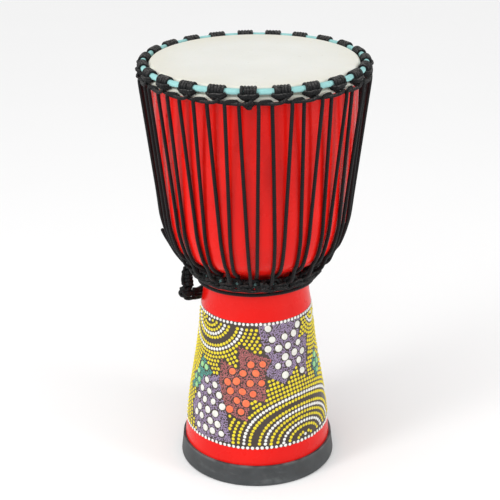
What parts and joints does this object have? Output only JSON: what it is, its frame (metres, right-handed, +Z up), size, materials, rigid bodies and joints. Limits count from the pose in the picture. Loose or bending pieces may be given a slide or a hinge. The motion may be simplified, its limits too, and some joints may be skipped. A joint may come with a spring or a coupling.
{
  "type": "djembe",
  "caption": "Rope-tuned goblet drum with a skin head, turned wooden shell, laced cord, rubber foot cover and a wound rope hand hold.",
  "frame": {"origin": "centre of the foot on the floor", "axes": "+Z up along the drum's axis to the playing surface, -Y front, hand hold on the -X side"},
  "size_m": [0.3186, 0.3189, 0.6036],
  "materials": {
    "painted_wood": "gloss red paint with a band of painted dots",
    "rubber": "matt, scuffed",
    "rawhide": "dry smooth rawhide",
    "ring_steel": "plain bar",
    "ring_cloth": "wound cloth strip",
    "black_cord": "braided cord",
    "black_rope": "braided rope"
  },
  "bodies": {
    "drum": {"shell": "painted_wood", "foot_cover": "rubber", "drum_head": "rawhide", "flesh_ring": "ring_steel", "crown_ring": "ring_steel", "crown_ring_cloth": "ring_cloth", "crown_hitches": "black_cord", "crown_loops": "black_cord", "crown_cord_knot": "black_cord", "bottom_ring": "ring_steel", "bottom_ring_cloth": "ring_cloth", "bottom_hitches": "black_cord", "bottom_loops": "black_cord", "bottom_cord_knot": "black_cord", "lacing_rope": "black_rope", "neck_rope": "black_rope", "hold_tie": "black_rope", "core_rope": "black_rope", "rope_tail": "black_rope"},
    "grip": {"hand_hold": "black_rope", "hand_knot": "black_rope"}
  },
  "joints": [
    {"name": "grip_swing", "type": "hinge", "parent": "drum", "child": "grip", "pos_m": [-0.09657, 0, 0.271], "axis": [-0.0141, 0, 0.9999], "range_deg": [-50, 50]}
  ]
}
